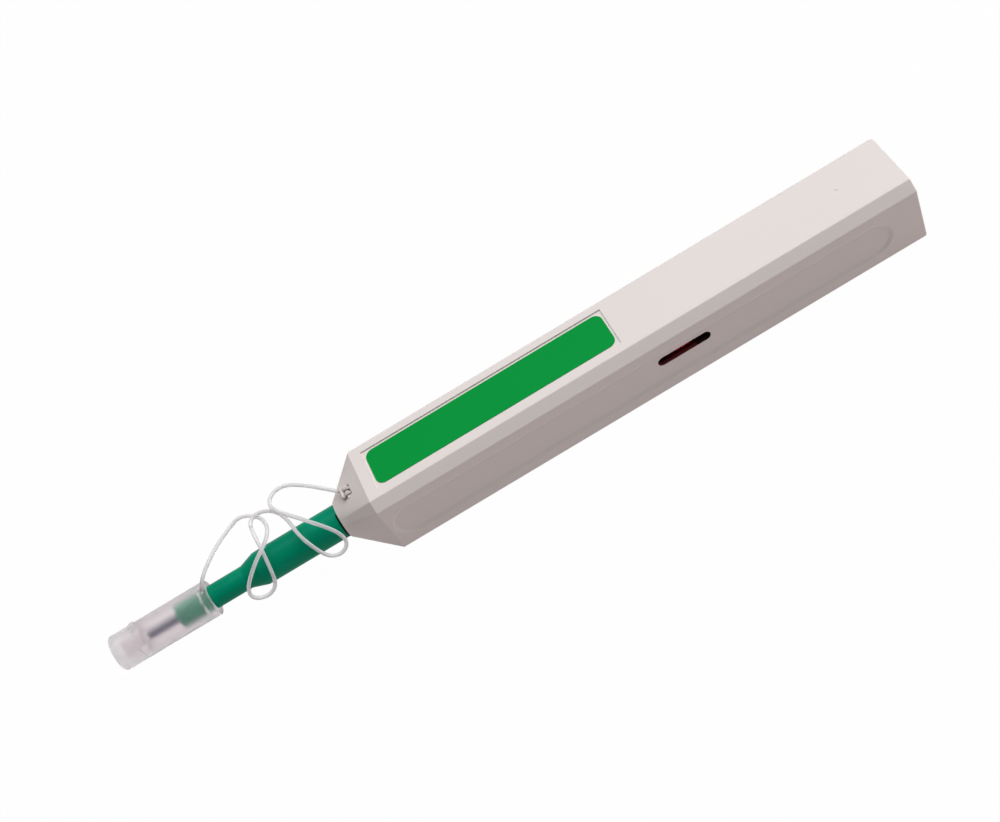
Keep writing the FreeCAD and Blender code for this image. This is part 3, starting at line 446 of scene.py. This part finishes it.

# %% [markdown]
# ## The tether
# A thin clear line keeps the cap with the pen. It leaves the cap's collar, drapes over the nozzle
# in two loose curls and is tied to an eyelet on the nose. The line could be drawn by hand, but a
# smooth NURBS curve that a few chosen points steer is easier to change. The line crosses two
# sliding joints, and it is made in two lengths that meet at one point.

# %% Choose the route
cap_half = np.array([
    (-87.5, 0.0, 15.1), (-86.5, -0.4, 17.8), (-83.5, 1.3, 20.2), (-79.0, 5.8, 20.2),
    (-74.3, 9.5, 19.6), (-70.1, 10.9, 20.2), (-67.0, 10.0, 18.2), (-65.0, 6.5, 19.4),
    (-64.3, 2.4, 20.6), (-65.9, -1.8, 21.3), (-69.2, -4.0, 20.7), (-73.0, -6.4, 18.9),
    (-75.8, -7.7, 16.3), (-76.5, -8.5, 13.8), (-75.0, -8.8, 11.6), (-72.1, -8.8, 11.0),
    (-69.5, -8.3, 12.9), (-68.6, -6.3, 16.5), (-68.2, -1.3, 19.3), (-68.5, 4.0, 20.1),
    (-68.45, 5.8, 20.0)]) / 1000.0
nose_half = np.array([
    (-68.45, 5.8, 20.0), (-68.4, 7.6, 19.9), (-66.0, 9.2, 19.7), (-62.7, 8.0, 19.6),
    (-60.3, 4.9, 20.1), (-58.8, 0.9, 20.4), (-58.1, -3.9, 18.9), (-56.5, -7.2, 16.2),
    (-55.4, -8.3, 13.3), (-54.1, -8.8, 11.5), (-51.9, -9.0, 10.6), (-49.7, -8.8, 11.7),
    (-48.7, -8.3, 13.7), (-49.4, -7.0, 16.5), (-52.2, -4.5, 19.3), (-56.4, -0.8, 22.2),
    (-60.3, 3.8, 22.6), (-61.4, 6.6, 22.3), (-60.8, 9.4, 21.9), (-58.3, 11.0, 21.7),
    (-54.9, 10.6, 21.2), (-49.2, 6.2, 20.3), (-44.3, 1.3, 19.5)]) / 1000.0
line_diameter = 0.001
print("points on the route:", len(cap_half) + len(nose_half))

# %% [markdown]
# Blender can work out the curve. It is made from the route's points, turned into a mesh so that
# its points can be read as one array, and removed again. Points that fall on each other are left
# out, because a step of no length has no direction.

# %% Draw the smooth line
shortest_step = 1e-7


def smooth_line(name, points):
    """Points on the smooth NURBS curve of order 3 that the route's points control."""
    curve = bpy.data.curves.new(name, "CURVE")
    curve.dimensions = "3D"
    spline = curve.splines.new("NURBS")
    spline.points.add(len(points) - 1)
    spline.points.foreach_set("co", np.column_stack([points, np.ones(len(points))]).ravel())
    spline.order_u = 3
    spline.use_endpoint_u = True
    spline.resolution_u = 8
    holder = bpy.data.objects.new(name, curve)
    line = bpy.data.meshes.new_from_object(holder)
    found = np.zeros(len(line.vertices) * 3)
    line.vertices.foreach_get("co", found)
    bpy.data.objects.remove(holder)
    bpy.data.curves.remove(curve)
    bpy.data.meshes.remove(line)
    found = found.reshape(-1, 3)
    steps = np.linalg.norm(np.diff(found, axis=0), axis=1)
    return found[np.concatenate([[True], steps > shortest_step])]


def line_length(points):
    """The sum of the steps along a line."""
    return float(np.linalg.norm(np.diff(points, axis=0), axis=1).sum())


cap_line = smooth_line("cap line", cap_half)
nose_line = smooth_line("nose line", nose_half)
print("tether %.1f mm" % (1000 * (line_length(cap_line) + line_length(nose_line))))

# %% [markdown]
# A tube is a circle carried along the line. Each station needs two directions across the line
# that don't twist from one station to the next. The frame at a station is the last one with its
# part along the new direction taken away, which is the simplest way to carry a frame without a
# twist.

# %% Carry a frame along the line
first_side = [0.3, 0.9, 0.1]


def carried_frames(points):
    """Two unit directions across the line at each station, carried without twist."""
    along = np.gradient(points, axis=0)
    along /= np.linalg.norm(along, axis=1)[:, None]
    across = np.zeros_like(points)
    side = np.cross(along[0], first_side)
    for i, direction in enumerate(along):
        side = side - direction * (side @ direction)
        side /= np.linalg.norm(side)
        across[i] = side
    return across, np.cross(along, across)


print("stations along the cap's half:", len(carried_frames(cap_line)[0]))

# %% [markdown]
# A mesh is a list of points and a list of faces that name them. A grid of points gives both: each
# point makes a quad with its next neighbours. The first and the last ring get one face each, so
# that the tube is closed, as a clear piece has to be for light to bend through it.

# %% Turn a grid of points into a tube
def new_piece(name, grid, faces):
    """A mesh object at the origin, over the points of a grid."""
    mesh = bpy.data.meshes.new(name)
    mesh.from_pydata(grid.reshape(-1, 3).tolist(), [], faces)
    piece = bpy.data.objects.new(name, mesh)
    bpy.context.scene.collection.objects.link(piece)
    return piece


def grid_mesh(name, grid):
    """Quads between neighbours of a grid (u, v) that closes round v, and a face on each end."""
    index = np.arange(grid.shape[0] * grid.shape[1]).reshape(grid.shape[:2])
    other = np.roll(index, -1, axis=1)
    quads = np.stack([index[:-1], other[:-1], other[1:], index[1:]], axis=-1).reshape(-1, 4)
    ends = [index[0, ::-1].tolist(), index[-1].tolist()]
    piece = new_piece(name, grid, quads.tolist() + ends)
    piece.data.shade_smooth()
    return piece


def tube(name, points, radius, around=20):
    """Point (u, v) = line(u) + radius * (cos v * side(u) + sin v * other(u))."""
    side, other = carried_frames(points)
    v = np.linspace(0.0, 2.0 * np.pi, around, endpoint=False)[None, :, None]
    radius = np.broadcast_to(radius, len(points))[:, None, None]
    grid = points[:, None] + radius * (np.cos(v) * side[:, None] + np.sin(v) * other[:, None])
    return grid_mesh(name, grid)


print("tube helper ready")

# %% [markdown]
# Each half takes the place of the CAD tether's line: the first runs from the cap, the second on
# to the casing's nose. Their ends meet at one point. The two end faces there get the join, so
# that no ring shows inside the clear line.

# %% Lay the two halves
line_start_face, line_end_face = -2, -1


def hide_end(piece, face):
    """Gives one end face of a tube the see-through finish, where it meets the other half."""
    piece.data.materials.append(finishes["join"])
    piece.data.polygons[face].material_index = 1


def finished(piece, finish):
    """Gives a new piece its material, one of the finishes."""
    piece.data.materials.append(finishes[finish])
    return piece


tether_cap = finished(tube("tether_cap_half", cap_line, line_diameter / 2), "tether_clear")
tether_nose = finished(tube("tether_nose_half", nose_line, line_diameter / 2), "tether_clear")
hide_end(tether_cap, line_end_face)
hide_end(tether_nose, line_start_face)
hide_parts("tether")
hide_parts("tether")
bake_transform(tether_cap)
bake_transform(tether_nose)
print("tether pieces:", tether_cap.name, tether_nose.name)

# %% [markdown]
# ## Springs
# Two coil springs push the nozzle and the tip back out. A coil gets shorter as its piece slides
# in. Each coil is one mesh. It could be a stack of copied rings, but a real wire rises evenly
# from one turn to the next, so the tube of before is swept along a helix.

# %% Wind the springs
def coil(name, node, turns, wire, per_turn=24):
    """Helix point at u in 0..1 = (x0 + length * u, radius * cos(2 pi turns u),
    radius * sin(2 pi turns u)), about the middle of the node's box."""
    low, high = (np.array(corner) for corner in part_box(node))
    u = np.linspace(0.0, 1.0, turns * per_turn + 1)
    angle = 2.0 * np.pi * turns * u
    radius = (high[1] - low[1] - wire) / 2.0
    middle = (low + high) / 2.0
    helix = np.column_stack([low[0] + wire / 2.0 + (high[0] - low[0] - wire) * u,
                             middle[1] + radius * np.cos(angle),
                             middle[2] + radius * np.sin(angle)])
    wound = finished(tube(name, helix, wire / 2.0), "steel")
    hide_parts(node)
    print(name, "of", turns, "turns, %.1f mm long" % (1000 * (high[0] - low[0])))
    return wound, (low[0], 0, 0), (high[0], 0, 0)


return_turns, return_wire = 9, 0.0008
tip_turns, tip_wire = 4, 0.00016
return_coil, front_end, tail_end = coil("return_coil", "return_spring", return_turns, return_wire)
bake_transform(return_coil)
tip_coil, front_end, tail_end = coil("tip_coil", "tip_spring", tip_turns, tip_wire)
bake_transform(tip_coil)

# %% [markdown]
# ## The film hinge
# The lid and the cap are moulded in one, with a thin film between them that folds. The film
# stands up in a low arch along the cap and is wrapped a little way round it.

# %% Make the film hinge
cap_low, cap_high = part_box("guide_cap")
cap_axis_z = (cap_low[2] + cap_high[2]) / 2.0


def film_hinge(name, seam_x, length, foot, rise, film, lean, spread, across=12, along=8):
    """Outer point (u, v) = radius foot + film + rise * (1 - u^2), at x = seam_x + u * length / 2
    and at angle lean + v round the cap's axis; the inner face is the same less film."""
    u = np.linspace(-1.0, 1.0, 2 * along + 1)
    outer = foot + film + rise * (1.0 - u ** 2)
    x = np.concatenate([u, u[::-1]]) * length / 2.0 + seam_x
    radius = np.concatenate([outer, outer[::-1] - film])
    v = lean + np.linspace(0.5, -0.5, across)[:, None] * spread
    grid = np.stack([np.broadcast_to(x, (across, len(x))), radius * np.cos(v),
                     cap_axis_z + radius * np.sin(v)], axis=-1)
    return grid_mesh(name, grid)


film_foot = 0.00493
film_rise = 0.00027
film_thickness = 0.00015
film_lean = math.radians(60.0)
film_spread = math.radians(28.0)
strap_low, strap_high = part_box("lid_strap")
seam_x = (strap_low[0] + strap_high[0]) / 2.0
lid_film = finished(film_hinge("lid_film", seam_x, strap_high[0] - strap_low[0], film_foot,
                               film_rise, film_thickness, film_lean, film_spread),
                    "lid_clear")
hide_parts("lid_strap")
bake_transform(lid_film)
print("film hinge at x = %.1f mm" % (1000 * seam_x))

# %% [markdown]
# ## The dial behind the slot
# The take-up reel carries a red dial. Its knurled rim runs close behind the slot, so that the
# user can see that the thread has moved on. The rim is a closed ring: a flat band with eased
# edges carried round the reel's axis, with its outer side pushed in by a cosine to make the
# knurls.

# %% Write the knurled ring
def closed_ring_mesh(name, grid):
    """Quads over a grid that closes on itself both ways, like a tyre."""
    index = np.arange(grid.shape[0] * grid.shape[1]).reshape(grid.shape[:2])
    ahead = np.roll(index, -1, axis=0)
    quads = np.stack([index, ahead, np.roll(ahead, -1, axis=1), np.roll(index, -1, axis=1)],
                     axis=-1)
    return new_piece(name, grid, quads.reshape(-1, 4).tolist())


def knurled_ring(name, centre, profile, depth, knurls, steps=288):
    """Point (u, v) = centre + r at angle u and height z(v), where r is the profile's radius
    less depth * outer(v) * (1 - cos(knurls * u)) / 2."""
    u = np.linspace(0.0, 2.0 * np.pi, steps, endpoint=False)[:, None]
    radius, height, outer = profile.T[:, None, :]
    radius = radius - depth * outer * (1.0 - np.cos(knurls * u)) / 2.0
    grid = np.stack([centre[0] + radius * np.cos(u), centre[1] + radius * np.sin(u),
                     np.broadcast_to(centre[2] + height, radius.shape)], axis=-1)
    return closed_ring_mesh(name, grid)


print("ring helper ready")

# %% [markdown]
# The rim's section is six points: the bore, the eased edges and the flat band. The third number
# of each says how far the knurls reach there, so that the bore stays round and the edges follow
# by half.

# %% Make the knurled rim
rim_radius = 0.0092
rim_half = 0.0013
eased = 0.0003
bore_radius = 0.0078
knurl_depth = 0.00035
knurl_count = 36
rim_profile = np.array([
    (bore_radius, -rim_half, 0), (rim_radius - eased, -rim_half, 0.5),
    (rim_radius, eased - rim_half, 1), (rim_radius, rim_half - eased, 1),
    (rim_radius - eased, rim_half, 0.5), (bore_radius, rim_half, 0)])
dial_rim = finished(knurled_ring("dial_rim", dial_centre, rim_profile, knurl_depth, knurl_count),
                    "reel_red")
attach(dial_rim, "takeup_reel")
print("dial rim", np.round(1000 * dial_centre, 2).tolist(), "mm, radius", 1000 * rim_radius)
